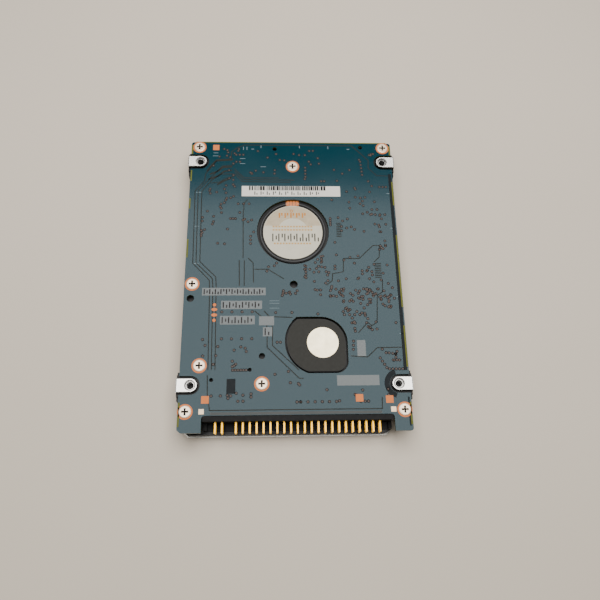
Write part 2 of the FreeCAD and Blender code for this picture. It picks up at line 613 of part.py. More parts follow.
# Loading ramp beside the disk edge: a comb whose slots take the tabs at the tips of the beams
comb = padded("ramp_comb", [sector(32.15, 35.2, 158.6, 165.0)], 0.95, 6.2, "pivot_x", "pivot_y")
foot = padded("ramp_foot", [sector(34.6, 40.2, 159.8, 165.6)], 5.4, "ceiling_level", "pivot_x", "pivot_y")
slots = [padded("ramp_slot_%d" % i, [sector(30, 33.9, 155, 168)], beam[0] - 0.22, beam[1] + 0.22,
                "pivot_x", "pivot_y") for i, (swage, beam, slider) in enumerate(HEADS)]
slots.append(cylinder("ramp_disk_clearance", 0, "spindle_y", 0, 7, "disk_radius + 0.2"))
slots.append(cylinder("ramp_screw_hole", RAMP_SCREW[0], RAMP_SCREW[1], 5, 7, 0.95))
node(cut("head_ramp", fuse("ramp_solid", comb, foot), *slots), "head_ramp")
ramp_screw = turned("ramp_screw_turned", [
    (0, 4.9), (1.55, 4.9), (1.55, 5.4), ("screw_shank", 5.4), ("screw_shank", 7.6), (0, 7.6),
], RAMP_SCREW[0], RAMP_SCREW[1])
node(cut("ramp_screw", ramp_screw,
         box("ramp_screw_slot", RAMP_SCREW[0] - 1.0, RAMP_SCREW[0] + 1.0, RAMP_SCREW[1] - 0.2,
             RAMP_SCREW[1] + 0.2, 4.5, 5.15)), "ramp_screw")

# Inertial latch: a light lever beside the coil's tail, which swings in when the drive is knocked
LATCH = (29.9, -25.6)
lever = fuse("latch_solid",
             cylinder("latch_barrel", LATCH[0], LATCH[1], 2.6, 5.0, 1.5),
             padded("latch_arm", [[(-1.1, 0), (-1.4, 4.1), (-2.1, 4.3), (-2.1, 5.2), (-0.4, 5.0), (1.0, 0),
                                   (0.9, -4.6), (-0.9, -4.6)]], 3.0, 4.2, LATCH[0], LATCH[1]))
node(cut("latch_lever", lever, cylinder("latch_bore", LATCH[0], LATCH[1], 2, 6, 0.74)), "latch_lever")
node(cylinder("latch_pin", LATCH[0], LATCH[1], 2.2, "ceiling_level", 0.7), "latch_pin")

# Head flex circuit: a strip on edge in a slack loop, its bracket and the connector through the web
flex_start = about_pivot(size.barrel_radius + 0.08, 240)
flex_end = (-12.9, -33.0)


def strip_outline(points, thick):
    """A thin strip along a smooth curve through the points, as one closed outline."""
    curve = Part.BSplineCurve()
    curve.interpolate([FreeCAD.Vector(x, y, 0) for x, y in points])
    first, last = curve.FirstParameter, curve.LastParameter
    near = []
    far = []
    for step in range(25):
        at = first + (last - first) * step / 24
        here = curve.value(at)
        along = curve.tangent(at)[0]
        side = FreeCAD.Vector(-along.y, along.x, 0) * (thick / 2)
        near.append((here.x + side.x, here.y + side.y))
        far.append((here.x - side.x, here.y - side.y))
    return near + far[::-1]


flex_points = [flex_start, (3.4, -32.2), (-0.5, -36.4), (-6.5, -38.0), (-11.0, -36.2), flex_end]
node(padded("head_flex_padded", [strip_outline(flex_points, 0.16)], 2.2, 5.2), "head_flex_cable")
node(fuse("flex_bracket", box("bracket_plate", -25.0, -13.0, -36.0, -30.4, 5.9, 6.0),
          box("bracket_upright", -13.1, -13.0, -35.0, -31.0, 2.2, 6.0),
          box("bracket_side", -25.0, -24.2, -36.0, -30.4, 6.0, "ceiling_level"),
          box("bracket_edge", -14.2, -13.0, -36.0, -30.4, 6.0, "ceiling_level")), "flex_bracket")
node(fuse("head_connector", box("head_connector_body", -23.5, -14.5, -34.6, -31.4, 6.0, 8.0),
          box("head_connector_tongue", -22.9, -15.1, -33.6, -32.4, 8.0, "board_under")), "head_connector")

# Filters
recirculation = padded("recirculation_padded", [[(-3.5, -1.0), (3.5, -1.0), (3.5, 1.0), (-3.5, 1.0)]],
                       1.3, 6.3, 27.6, -8.9, 50.3)
node(recirculation, "recirculation_filter")
node(cylinder("breather_filter", -13, -38, "cover_thick", 0.85, 2.8), "breather_filter")
node(rounded("desiccant_pack", box("desiccant_blank", -26.2, -18.2, -41.4, -37.2, 1.2, 5.6), 0.9,
             lambda x, y: True), "desiccant_pack")

# ---------------------------------------------------------------------------------------------
# Circuit board and what it carries
# ---------------------------------------------------------------------------------------------
half = size.board_half
front = size.board_front
rear = size.board_rear
back = size.notch_back
left = size.notch_left
right = size.notch_right
board_blank = padded("board_blank", [[
    (-half, front + 0.9), (-half, rear - 0.8), (-half + 0.8, rear, -half + 0.23, rear - 0.23),
    (half - 0.8, rear), (half, rear - 0.8, half - 0.23, rear - 0.23),
    (half, front + 0.8), (half - 0.8, front, half - 0.23, front + 0.23),
    (right, front), (right, back - 1), (right - 1, back, right - 0.29, back - 0.29),
    (left + 1, back), (left, back - 1, left + 0.29, back - 0.29),
    (left, front), (-half + 1.1, front),
]], "board_under", "board_top")
board_cuts = [
    cylinder("board_motor_hole", 0, "spindle_y", 8, 10, 11.7),
    panel("board_panel_hole", "0", 8, 10),
]
for side in (-1, 1):
    for end, mount in MOUNTS:
        board_cuts.append(pad_outline("board_notch_%d_%s" % (side + 1, end), side, mount, "0.7", 8, 10))
for i, (x, y) in enumerate(BOARD_SCREWS):
    board_cuts.append(cylinder("board_screw_hole_%d" % i, x, y, 8, 10, 1.05))
for i, (x, y, radius) in enumerate(BOARD_HOLES):
    board_cuts.append(cylinder("board_hole_%d" % i, x, y, 8, 10, radius))
node(cut("circuit_board", board_blank, *board_cuts), "circuit_board")

board_screws = []
for i, (x, y) in enumerate(BOARD_SCREWS):
    screw = fuse("board_screw_%d" % i,
                 cylinder("board_screw_head_%d" % i, x, y, "board_top", "board_top + 0.2", "screw_head"),
                 cone("board_screw_crown_%d" % i, x, y, "board_top + 0.2", "board_top + 0.3",
                      "screw_head", "screw_head - 0.25"),
                 cylinder("board_screw_shank_%d" % i, x, y, 7.0, "board_top", "screw_shank"))
    board_screws.append(cut(
        "board_screw_cut_%d" % i, screw,
        box("cross_x_%d" % i, x - 0.95, x + 0.95, y - 0.19, y + 0.19, 9.05, 10),
        box("cross_y_%d" % i, x - 0.19, x + 0.19, y - 0.95, y + 0.95, 9.05, 10)))
node(group("board_screws", *board_screws), "board_screws")

node(box("controller_chip", -16.0, -2.0, -14.0, 0.0, 7.4, "board_under"), "controller_chip")
node(box("buffer_chip", 16.0, 27.0, -14.0, 5.5, 7.4, "board_under"), "buffer_memory_chip")
node(box("driver_chip", -27.0, -19.0, 14.0, 22.0, 7.45, "board_under"), "motor_driver_chip")
small_parts = [
    (-20, 4), (-20, 8), (-24, 4), (-24, 8), (16, 28), (20, 28), (24, 28), (-16, 30), (-20, 30),
    (20, -24), (23.6, -24), (20, -20), (23.6, -20), (4, -38.6), (8, -38.6), (12, -38.6), (16, -38.6),
]
node(group("board_parts", *[box("small_part_%d" % i, x, x + 2.0, y, y + 1.25, 7.6, "board_under")
                            for i, (x, y) in enumerate(small_parts)]), "board_small_parts")

node(panel("film_panel", "(panel_gap + 0.15)", "panel_level", "panel_level + film_thick"), "panel_film")
node(cylinder("seal_disc", "pivot_x", "pivot_y", "panel_level + film_thick",
              "panel_level + 2 * film_thick", 4.77), "access_hole_seal")
node(box("barcode_label", -16.8, 16.0, 27.2, 31.1, "board_top", "board_top + 0.1"), "barcode_label")

# ---------------------------------------------------------------------------------------------
# Pin header
# ---------------------------------------------------------------------------------------------
HOUSING_LEFT = -26.9
HOUSING_RIGHT = 28.5
HOUSING_MOUTH = -48.6
HOUSING_WALL = -46.5
housing_parts = [
    box("housing_wall", HOUSING_LEFT, HOUSING_RIGHT, HOUSING_WALL, HOUSING_WALL + 1.5, "shelf_level", 9.0),
    box("housing_floor", HOUSING_LEFT, HOUSING_RIGHT, HOUSING_MOUTH, HOUSING_WALL + 0.1, "shelf_level", 3.9),
    box("housing_left", HOUSING_LEFT, HOUSING_LEFT + 1, HOUSING_MOUTH, HOUSING_WALL + 0.1,
        "shelf_level", 5.2),
    box("housing_right", HOUSING_RIGHT - 1, HOUSING_RIGHT, HOUSING_MOUTH, HOUSING_WALL + 0.1,
        "shelf_level", 5.2),
]
pin_holes = []
data_pins = []
jumper_pins = []
for column in range(COLUMNS):
    if column == EMPTY_COLUMN:
        continue
    x = "(pin_first_x + %d * pin_pitch)" % column
    low_x = x + " - pin_size / 2"
    high_x = x + " + pin_size / 2"
    for level, tail in (("pin_high", -44.35), ("pin_low", -43.8)):
        if column == KEY_COLUMN and level == "pin_high":
            continue
        tag = "%s_%d" % (level, column)
        straight = box(tag + "_straight", low_x, high_x, "pin_tip", tail + 0.3,
                       level + " - pin_size / 2", level + " + pin_size / 2")
        upright = box(tag + "_tail", low_x, high_x, tail, tail + 0.3,
                      level + " - pin_size / 2", "board_under")
        pin = fuse(tag, straight, upright)
        (jumper_pins if column < EMPTY_COLUMN else data_pins).append(pin)
        pin_holes.append(box(tag + "_hole", low_x, high_x, -47, -44, level + " - pin_size / 2",
                             level + " + pin_size / 2"))
node(cut("connector_housing", fuse("housing_solid", *housing_parts), *pin_holes), "connector_housing")
node(group("connector_pins", *data_pins), "connector_pins")
node(group("jumper_pins", *jumper_pins), "jumper_pins")

# ---------------------------------------------------------------------------------------------
# Checks and export
# ---------------------------------------------------------------------------------------------
doc.recompute()
faults = []
for thing in doc.Objects:
    if "Invalid" in thing.State or "Error" in thing.State:
        faults.append("%s: %s" % (thing.Name, thing.State))
for thing in nodes:
    if thing.Shape.isNull() or not thing.Shape.isValid() or not thing.Shape.Solids:
        faults.append("%s: no valid solid" % thing.Label)
if faults:
    raise SystemExit("\n".join(faults))

os.makedirs("parts", exist_ok=True)
for thing in nodes:
    thing.Shape.exportStep("parts/%s.step" % thing.Label)
    print("%-22s %9.3f mm3 in %2d" % (thing.Label, thing.Shape.Volume, len(thing.Shape.Solids)))
print("%d sub-parts" % len(nodes))
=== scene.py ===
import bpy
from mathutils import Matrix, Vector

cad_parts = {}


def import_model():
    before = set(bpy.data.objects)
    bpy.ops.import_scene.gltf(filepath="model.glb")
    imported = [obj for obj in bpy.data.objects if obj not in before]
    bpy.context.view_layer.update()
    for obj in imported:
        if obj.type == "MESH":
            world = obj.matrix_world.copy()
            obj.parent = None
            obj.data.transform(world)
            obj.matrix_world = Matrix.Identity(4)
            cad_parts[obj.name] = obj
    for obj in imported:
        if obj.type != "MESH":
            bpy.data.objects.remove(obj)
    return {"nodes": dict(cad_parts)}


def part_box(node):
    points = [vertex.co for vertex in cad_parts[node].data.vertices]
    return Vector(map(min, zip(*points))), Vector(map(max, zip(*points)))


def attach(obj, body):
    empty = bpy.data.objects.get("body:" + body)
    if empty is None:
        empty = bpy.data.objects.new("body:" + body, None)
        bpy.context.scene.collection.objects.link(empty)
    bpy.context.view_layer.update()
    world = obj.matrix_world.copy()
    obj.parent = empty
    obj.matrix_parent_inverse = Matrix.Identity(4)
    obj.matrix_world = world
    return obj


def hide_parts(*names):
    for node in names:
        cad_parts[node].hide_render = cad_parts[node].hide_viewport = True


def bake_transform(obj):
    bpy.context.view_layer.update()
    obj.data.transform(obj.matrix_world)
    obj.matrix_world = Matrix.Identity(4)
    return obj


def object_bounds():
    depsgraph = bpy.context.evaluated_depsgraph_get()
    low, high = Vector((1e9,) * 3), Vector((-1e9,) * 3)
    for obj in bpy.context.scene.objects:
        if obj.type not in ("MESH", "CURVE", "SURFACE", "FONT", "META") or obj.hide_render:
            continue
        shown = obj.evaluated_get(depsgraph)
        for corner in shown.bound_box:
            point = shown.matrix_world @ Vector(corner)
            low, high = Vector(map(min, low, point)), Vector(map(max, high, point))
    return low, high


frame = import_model()
cad_box = [list(corner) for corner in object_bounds()]

import math
import random

import bpy
from mathutils import Matrix, Vector

# The looks of a 2.5 inch hard disk drive that lies on its cover, with its circuit board up.
# Lengths are written in millimetres in the row's own frame, and MM turns them into metres.
MM = 0.001
BOARD_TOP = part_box("circuit_board")[1][2] / MM
PAD_TOP = cad_box[1][2] / MM
SPINDLE = (0.0, 14.35)
HOLE_X = 30.86
HOLE_Y = (-36.0, 40.6)
SKIN = 0.012        # how far printed and plated marks stand above what they are on


# --------------------------------------------------------------------------------------------
# Materials
# --------------------------------------------------------------------------------------------
def rgb(red, green, blue):
    """A colour named by its sRGB bytes, as the linear colour that a shader takes."""
    linear = []
    for byte in (red, green, blue):
        c = byte / 255
        linear.append(c / 12.92 if c <= 0.04045 else ((c + 0.055) / 1.055) ** 2.4)
    return linear


class Look:
    """A material that is being built: a Principled shader and short ways to add nodes to it."""

    def __init__(self, name, roughness, metallic=0.0, specular=0.5):
        self.material = bpy.data.materials.new(name)
        self.material.use_nodes = True
        self.tree = self.material.node_tree
        self.shader = self.tree.nodes["Principled BSDF"]
        self.shader.inputs["Roughness"].default_value = roughness
        self.shader.inputs["Metallic"].default_value = metallic
        self.shader.inputs["Specular IOR Level"].default_value = specular
        self.place = self.add("ShaderNodeTexCoord").outputs["Object"]

    def add(self, kind, **settings):
        made = self.tree.nodes.new(kind)
        for setting, choice in settings.items():
            setattr(made, setting, choice)
        return made

    def link(self, source, target):
        self.tree.links.new(source, target)

    def noise(self, per_mm, detail=4.0, stretch=(1, 1, 1)):
        """Noise between 0 and 1, with that many features to the millimetre."""
        mapping = self.add("ShaderNodeMapping")
        mapping.inputs["Scale"].default_value = [s / MM * per_mm for s in stretch]
        self.link(self.place, mapping.inputs["Vector"])
        made = self.add("ShaderNodeTexNoise")
        made.inputs["Scale"].default_value = 1.0
        made.inputs["Detail"].default_value = detail
        self.link(mapping.outputs["Vector"], made.inputs["Vector"])
        return made.outputs["Fac"]

    def mix(self, amount, first, second):
        """A colour between two, each a list or the output of another node."""
        made = self.add("ShaderNodeMix", data_type="RGBA")
        for socket, colour in ((made.inputs[6], first), (made.inputs[7], second)):
            if isinstance(colour, (list, tuple)):
                socket.default_value = list(colour) + [1.0]
            else:
                self.link(colour, socket)
        self.link(amount, made.inputs[0])
        return made.outputs[2]

    def above(self, axis, limit, source=None):
        """1 where a coordinate is above a limit in metres, and 0 elsewhere."""
        parts = self.add("ShaderNodeSeparateXYZ")
        self.link(source or self.place, parts.inputs[0])
        made = self.add("ShaderNodeMath", operation="GREATER_THAN")
        self.link(parts.outputs[axis], made.inputs[0])
        made.inputs[1].default_value = limit
        return made.outputs[0]

    def colour(self, source):
        self.link(source, self.shader.inputs["Base Color"])

    def bump(self, height, strength, distance_mm):
        made = self.add("ShaderNodeBump")
        made.inputs["Strength"].default_value = strength
        made.inputs["Distance"].default_value = distance_mm * MM
        self.link(height, made.inputs["Height"])
        self.link(made.outputs["Normal"], self.shader.inputs["Normal"])

    def rough(self, amount, low, high):
        made = self.add("ShaderNodeMapRange")
        made.inputs["To Min"].default_value = low
        made.inputs["To Max"].default_value = high
        self.link(amount, made.inputs["Value"])
        self.link(made.outputs["Result"], self.shader.inputs["Roughness"])


def plain(name, colour, roughness, metallic=0.0, vary=0.12, grain=3.0, relief=0.15,
          stretch=(1, 1, 1), specular=0.5):
    """A finish of one colour, a little uneven in tone and gloss, with a fine relief."""
    look = Look(name, roughness, metallic, specular)
    fine = look.noise(grain, 5.0, stretch)
    dark = [c * (1 - vary) for c in colour]
    light = [min(1.0, c * (1 + vary)) for c in colour]
    look.colour(look.mix(fine, dark, light))
    look.rough(look.noise(grain * 0.3, 3.0, stretch), max(0.05, roughness * 0.8), min(1.0, roughness * 1.2))
    look.bump(fine, relief, 0.02)
    return look.material


def board_look():
    """Teal solder resist over copper on the faces, and bare olive laminate on the edges."""
    look = Look("board", 0.14, specular=0.19)
    weave = look.noise(2.2, 3.0)
    cloud = look.noise(0.06, 2.0)
    resist = look.mix(cloud, rgb(0, 42, 54), rgb(2, 48, 58))
    resist = look.mix(weave, resist, rgb(6, 52, 62))
    edge = look.mix(look.noise(1.5), rgb(98, 96, 40), rgb(58, 62, 26))
    facing = look.add("ShaderNodeNewGeometry").outputs["Normal"]
    look.colour(look.mix(look.above(2, 0.5, facing), edge, resist))
    look.rough(cloud, 0.14, 0.20)
    look.bump(weave, 0.10, 0.01)
    return look.material


def casting_look():
    """A black electrocoat, cut away to bright metal on the faces of the four landings."""
    look = Look("casting", 0.42, specular=0.14)
    fine = look.noise(2.5)
    coated = look.mix(fine, rgb(17, 17, 18), rgb(34, 34, 35))
    milled = look.mix(look.noise(2.0, 3.0, (6, 0.4, 1)), rgb(196, 196, 194), rgb(236, 235, 232))
    bare = look.above(2, (PAD_TOP - 0.35) * MM)
    look.colour(look.mix(bare, coated, milled))
    look.link(bare, look.shader.inputs["Metallic"])
    look.rough(fine, 0.30, 0.46)
    look.bump(fine, 0.18, 0.03)
    return look.material


def turned_look(name, colour):
    """Metal turned on a lathe, with fine rings about the spindle's axis."""
    roughness = 0.28
    look = Look(name, roughness, 1.0)
    mapping = look.add("ShaderNodeMapping")
    mapping.inputs["Location"].default_value = (-SPINDLE[0], -SPINDLE[1], 0)
    mapping.inputs["Scale"].default_value = (1 / MM, 1 / MM, 1 / MM)
    look.link(look.place, mapping.inputs["Vector"])
    rings = look.add("ShaderNodeTexWave", wave_type="RINGS", rings_direction="Z")
    rings.inputs["Scale"].default_value = 2.4
    rings.inputs["Distortion"].default_value = 0.4
    look.link(mapping.outputs["Vector"], rings.inputs["Vector"])
    look.colour(look.mix(rings.outputs["Fac"], [c * 0.88 for c in colour], colour))
    look.rough(look.noise(0.8), roughness * 0.8, roughness * 1.25)
    look.bump(rings.outputs["Fac"], 0.1, 0.005)
    return look.material


STEEL = rgb(196, 194, 188)
NICKEL = rgb(236, 228, 214)
ALUMINIUM = rgb(214, 214, 212)

looks = {
    "board": board_look(),
    "casting": casting_look(),
    "steel": plain("steel", rgb(150, 148, 143), 0.34, 0.85, vary=0.06, grain=1.5,
                   stretch=(8, 0.5, 1), specular=0.2),
    "ground": plain("ground_steel", STEEL, 0.22, 1.0, vary=0.05, grain=4.0),
    "nickel": plain("nickel", NICKEL, 0.34, 1.0, vary=0.05, grain=4.0, relief=0.2),
    "screw": plain("screw_plate", rgb(226, 208, 186), 0.42, 0.6, vary=0.05, grain=4.0, relief=0.2),
    # near black: painted shade for the inside of the screws' cross recesses
    "recess": plain("painted_recess_shade", rgb(14, 11, 10), 0.7, vary=0.2, specular=0.05),
    "aluminium": turned_look("turned_aluminium", ALUMINIUM),
    "milled": plain("milled_aluminium", ALUMINIUM, 0.34, 1.0, vary=0.06, grain=1.2, stretch=(0.4, 6, 1)),
    "gold": plain("gold_flash", rgb(196, 150, 52), 0.34, 1.0, vary=0.10, grain=3.0),
    "copper": plain("tinned_copper", rgb(204, 118, 66), 0.5, 0.05, vary=0.10, grain=3.0, specular=0.1),
    "wire": plain("enamelled_wire", rgb(176, 84, 44), 0.30, 0.9, vary=0.25, grain=5.0, stretch=(1, 1, 6)),
    "disk": plain("disk_surface", rgb(220, 220, 222), 0.05, 1.0, vary=0.02, grain=0.4, relief=0.0),
    "magnet": plain("magnet", rgb(70, 70, 74), 0.5, 0.6),
    "black": plain("black_plastic", rgb(14, 14, 15), 0.5, grain=3.0, relief=0.35, vary=0.25, specular=0.10),
    "rubber": plain("rubber", rgb(20, 20, 20), 0.8, relief=0.4, specular=0.15),
    "chip": plain("chip_package", rgb(26, 26, 27), 0.6, relief=0.3, specular=0.2),
    "ceramic": plain("ceramic", rgb(168, 138, 104), 0.5),
    "cream": plain("ramp_plastic", rgb(216, 206, 178), 0.45),
    "felt": plain("felt", rgb(234, 233, 228), 0.95, grain=6.0, relief=0.6),
    "film": plain("panel_film", rgb(40, 40, 37), 0.5, vary=0.06, grain=5.0, relief=0.25, specular=0.12),
    "seal": plain("seal_paper", rgb(255, 242, 206), 0.5, 0.7, vary=0.01, grain=2.0, relief=0.1),
    "paper": plain("label_paper", rgb(214, 211, 204), 0.5, vary=0.02, grain=2.0, relief=0.1, specular=0.2),
    "ink": plain("ink", rgb(16, 16, 18), 0.6, vary=0.2, specular=0.1),
    "bracket": plain("bracket_coat", rgb(15, 15, 16), 0.34, vary=0.15, specular=0.10),
    # a painted highlight: the light caught along the glossy black motor bracket
    "highlight_ring": plain("bracket_painted_highlight", rgb(70, 72, 74), 0.35, 0.0, vary=0.1, specular=0.15),
    "disc": plain("motor_disc", rgb(182, 178, 162), 0.45, 0.15, vary=0.04, grain=1.2,
                  relief=0.1, specular=0.2),
    "polyimide": plain("polyimide", rgb(150, 88, 36), 0.25, vary=0.15, grain=2.0),
    "slider": plain("slider", rgb(60, 60, 66), 0.15, 0.2),
    "bronze": turned_look("bronze", rgb(190, 140, 80)),
    "gap": plain("copper_gap", rgb(46, 46, 42), 0.6, vary=0.15, specular=0.04),
    "olive": plain("bare_laminate", rgb(98, 100, 34), 0.6, vary=0.25, specular=0.12),
    "band": plain("bare_band", rgb(16, 23, 27), 0.5, vary=0.2, specular=0.10),
    "via": plain("via_ring", rgb(24, 22, 24), 0.6, vary=0.2, grain=4.0, specular=0.10),
    "via_pad": plain("via_pad", rgb(84, 70, 64), 0.5, vary=0.2, grain=4.0, specular=0.2),
    "print": plain("screen_print", rgb(82, 90, 92), 0.2, vary=0.06, grain=2.0, specular=0.28),
    "print_dark": plain("screen_print_mark", rgb(26, 20, 22), 0.6, vary=0.12, specular=0.08),
    "legend": plain("legend", rgb(120, 138, 146), 0.5, vary=0.1, specular=0.2),
    "tin": plain("solder", rgb(220, 194, 160), 0.4, 0.3, vary=0.08),
    "bare": plain("bare_strip", rgb(58, 62, 62), 0.45, vary=0.10, grain=3.0, specular=0.2),
    "disc_dull": plain("disc_window", rgb(158, 146, 124), 0.35, 0.2, vary=0.2, grain=0.5, specular=0.2),
    "gold_ink": plain("gold_ink", rgb(176, 116, 46), 0.45, 0.1, vary=0.1, specular=0.2),
    "tan_ink": plain("tan_ink", rgb(190, 150, 96), 0.5, vary=0.1, specular=0.1),
}

NODE_LOOKS = {
    "base_casting": "casting", "top_cover": "steel", "cover_screws": "nickel", "cover_label": "paper",
    "cover_gasket": "rubber", "motor_bracket": "bracket", "motor_label": "disc", "motor_flex": "polyimide",
    "bearing_sleeve": "bronze", "stator_core": "steel", "stator_windings": "wire",
    "spindle_hub": "aluminium", "spindle_shaft": "ground", "rotor_magnet": "magnet",
    "platter_a": "disk", "platter_b": "disk", "platter_spacer": "aluminium", "disk_clamp": "aluminium",
    "clamp_screw": "nickel", "actuator_arm_block": "milled", "pivot_sleeve": "ground",
    "suspensions": "steel", "head_sliders": "slider", "voice_coil": "wire", "coil_overmould": "black",
    "pivot_shaft": "ground", "pivot_inner_races": "ground", "pivot_outer_races": "ground",
    "pivot_balls": "ground", "pivot_screw": "nickel", "lower_yoke": "nickel", "upper_yoke": "nickel",
    "lower_magnet": "magnet", "upper_magnet": "magnet", "yoke_posts": "ground", "head_ramp": "cream",
    "ramp_screw": "nickel", "latch_lever": "black", "latch_pin": "ground", "head_flex_cable": "polyimide",
    "flex_bracket": "steel", "head_connector": "black", "recirculation_filter": "felt",
    "breather_filter": "felt", "desiccant_pack": "felt", "circuit_board": "board",
    "board_screws": "screw", "controller_chip": "chip", "buffer_memory_chip": "chip",
    "motor_driver_chip": "chip", "board_small_parts": "ceramic", "panel_film": "film",
    "access_hole_seal": "seal", "barcode_label": "paper", "connector_housing": "black",
    "connector_pins": "gold", "jumper_pins": "gold",
}
for label, look in NODE_LOOKS.items():
    cad_node = frame["nodes"][label]
    for holder in cad_node.material_slots:
        holder.link = "OBJECT"
        holder.material = looks[look]


# --------------------------------------------------------------------------------------------
# Shapes
# --------------------------------------------------------------------------------------------
class Solid:
    """Collects prisms of any outline into one mesh, then becomes a piece that rides on a body."""

    def __init__(self):
        self.points = []
        self.faces = []

    def prism(self, outline, low, high):
        """An upright prism on a closed outline of (x, y) corners, given anticlockwise."""
        first = len(self.points)
        count = len(outline)
        for level in (low, high):
            self.points += [(x * MM, y * MM, level * MM) for x, y in outline]
        self.faces.append([first + i for i in reversed(range(count))])
        self.faces.append([first + count + i for i in range(count)])
        for i in range(count):
            j = (i + 1) % count
            self.faces.append([first + i, first + j, first + count + j, first + count + i])

    def box(self, x0, x1, y0, y1, low, high):
        self.prism([(x0, y0), (x1, y0), (x1, y1), (x0, y1)], low, high)

    def disc(self, x, y, radius, low, high, sides=18, wide=1.0):
        self.prism([(x + wide * radius * math.cos(i * math.tau / sides),
                     y + radius * math.sin(i * math.tau / sides)) for i in range(sides)], low, high)

    def ring(self, x, y, inner, outer, low, high, sides=32, start=0.0, sweep=math.tau):
        """A ring, or part of one from the start angle through the sweep."""
        whole = abs(sweep - math.tau) < 1e-9
        first = len(self.points)
        stops = sides if whole else sides + 1
        for i in range(stops):
            turn = start + sweep * i / sides
            for radius, level in ((inner, low), (outer, low), (outer, high), (inner, high)):
                self.points.append(((x + radius * math.cos(turn)) * MM, (y + radius * math.sin(turn)) * MM,
                                    level * MM))
        for i in range(sides):
            here = first + 4 * i
            there = first + 4 * ((i + 1) % stops)
            for k in range(4):
                after = (k + 1) % 4
                self.faces.append([here + k, there + k, there + after, here + after])
        if not whole:
            last = first + 4 * sides
            self.faces.append([first, first + 1, first + 2, first + 3])
            self.faces.append([last + 3, last + 2, last + 1, last])

    def strip(self, path, width, low, high):
        """A flat line of constant width along a path, mitred at its corners."""
        sides = ([], [])
        for i, here in enumerate(path):
            before = Vector(path[max(i - 1, 0)])
            after = Vector(path[min(i + 1, len(path) - 1)])
            incoming = (Vector(here) - before).normalized() if i else (after - Vector(here)).normalized()
            outgoing = (after - Vector(here)).normalized() if i < len(path) - 1 else incoming
            middle = (incoming + outgoing).normalized()
            across = Vector((-middle.y, middle.x)) * (width / 2 / max(middle.dot(outgoing), 0.5))
            sides[0].append((here[0] - across.x, here[1] - across.y))
            sides[1].append((here[0] + across.x, here[1] + across.y))
        first = len(self.points)
        count = len(path)
        for level in (low, high):
            for side in sides:
                self.points += [(x * MM, y * MM, level * MM) for x, y in side]
        right, left, top_right, top_left = (first + k * count for k in range(4))
        for i in range(count - 1):
            self.faces += [
                [top_right + i, top_right + i + 1, top_left + i + 1, top_left + i],
                [left + i, left + i + 1, right + i + 1, right + i],
                [right + i, right + i + 1, top_right + i + 1, top_right + i],
                [left + i + 1, left + i, top_left + i, top_left + i + 1],
            ]
        end = count - 1
        self.faces.append([right, top_right, top_left, left])
        self.faces.append([right + end, left + end, top_left + end, top_right + end])

    def piece(self, name, look, slot, body="chassis"):
        mesh = bpy.data.meshes.new(name)
        mesh.from_pydata(self.points, [], self.faces)
        mesh.materials.append(looks[look])
        mesh.validate()
        made = bpy.data.objects.new(name, mesh)
        bpy.context.scene.collection.objects.link(made)
        if body:
            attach(made, body)
        return made


# --------------------------------------------------------------------------------------------
# Artwork on the circuit board
# --------------------------------------------------------------------------------------------
GAPS = [
    [(-20.2, 41.2), (-25.5, 40.8), (-29.0, 35.8), (-29.2, 33.0), (-32.2, 29.2), (-31.8, 3.0), (-26.4, -2.8),
     (-26.2, -5.2), (-25.8, -31.4)],
    [(-19.8, 39.3), (-23.5, 38.8), (-27.5, 34.0), (-31.2, 29.3), (-30.8, 3.2), (-25.5, -2.2), (-25.2, -5.2),
     (-24.8, -31.4)],
    [(-19.7, 35.8), (-23.7, 35.7), (-26.6, 33.6), (-30.0, 29.0), (-29.6, 3.6), (-24.4, -1.7), (-24.2, -5.2),
     (-23.7, -31.4)],
    [(-19.6, 34.8), (-22.4, 34.0), (-24.2, 32.6), (-27.0, 32.2)],
    [(-19.5, 37.9), (-16.1, 34.3), (-4.5, 34.3)],
    [(-19.4, 36.9), (-16.3, 33.6), (0.8, 33.5)],
    [(-19.4, 35.9), (-16.6, 32.8), (-0.5, 32.7)],
    [(-16.2, 22.2), (-16.0, 4.8)],
    [(-17.2, 4.0), (-17.0, -4.8)],
    [(-15.6, 4.0), (-15.5, -4.8)],
    [(-14.4, 4.8), (-12.8, 3.1), (-12.6, -3.6)],
    [(-12.3, 0.9), (-8.1, 0.9), (-3.1, -2.4)],
    [(-20.5, 42.0), (-20.6, 44.4), (-18.9, 46.0), (-16.3, 47.3), (20.7, 47.3), (26.2, 41.5), (26.0, 38.4),
     (28.8, 35.4), (32.5, 35.3)],
    [(16.0, 4.6), (21.1, 4.6), (25.8, 9.2), (27.9, 9.2), (27.6, 5.1), (25.8, 3.4)],
    [(16.0, 4.5), (15.8, 0.0), (12.3, -0.7), (12.2, -3.0), (10.3, -4.6)],
    [(28.1, -3.0), (27.8, -6.9), (26.1, -8.0), (25.5, -16.9), (23.8, -18.0), (22.6, -16.9), (19.5, -20.3)],
    [(16.9, -27.5), (21.9, -27.9), (25.0, -25.0), (32.7, -24.9)],
    [(-12.2, -13.0), (-10.3, -14.7), (-8.4, -18.0), (-8.3, -24.7), (1.2, -34.2), (2.5, -34.2)],
    [(-9.3, -13.0), (-7.7, -14.9), (-0.6, -15.2)],
    [(-6.7, -17.8), (-6.7, -24.1), (1.2, -31.7)],
    [(-25.9, -33.0), (-25.7, -38.6), (-24.9, -43.4), (25.3, -43.4), (25.5, -40.0)],
    [(-16.0, 22.2), (-16.0, 24.6), (-14.8, 26.0)],
]
HEAVY = [
    [(-20.0, 41.6), (-25.4, 41.2), (-27.2, 39.0), (-28.6, 36.8)],
    [(-20.2, 38.6), (-23.2, 38.4), (-25.0, 36.8), (-27.6, 35.6)],
    [(-20.2, 37.2), (-22.8, 36.8), (-24.8, 35.0), (-28.0, 33.6)],
    [(-20.4, 34.2), (-22.6, 33.2), (-25.0, 31.6)],
]
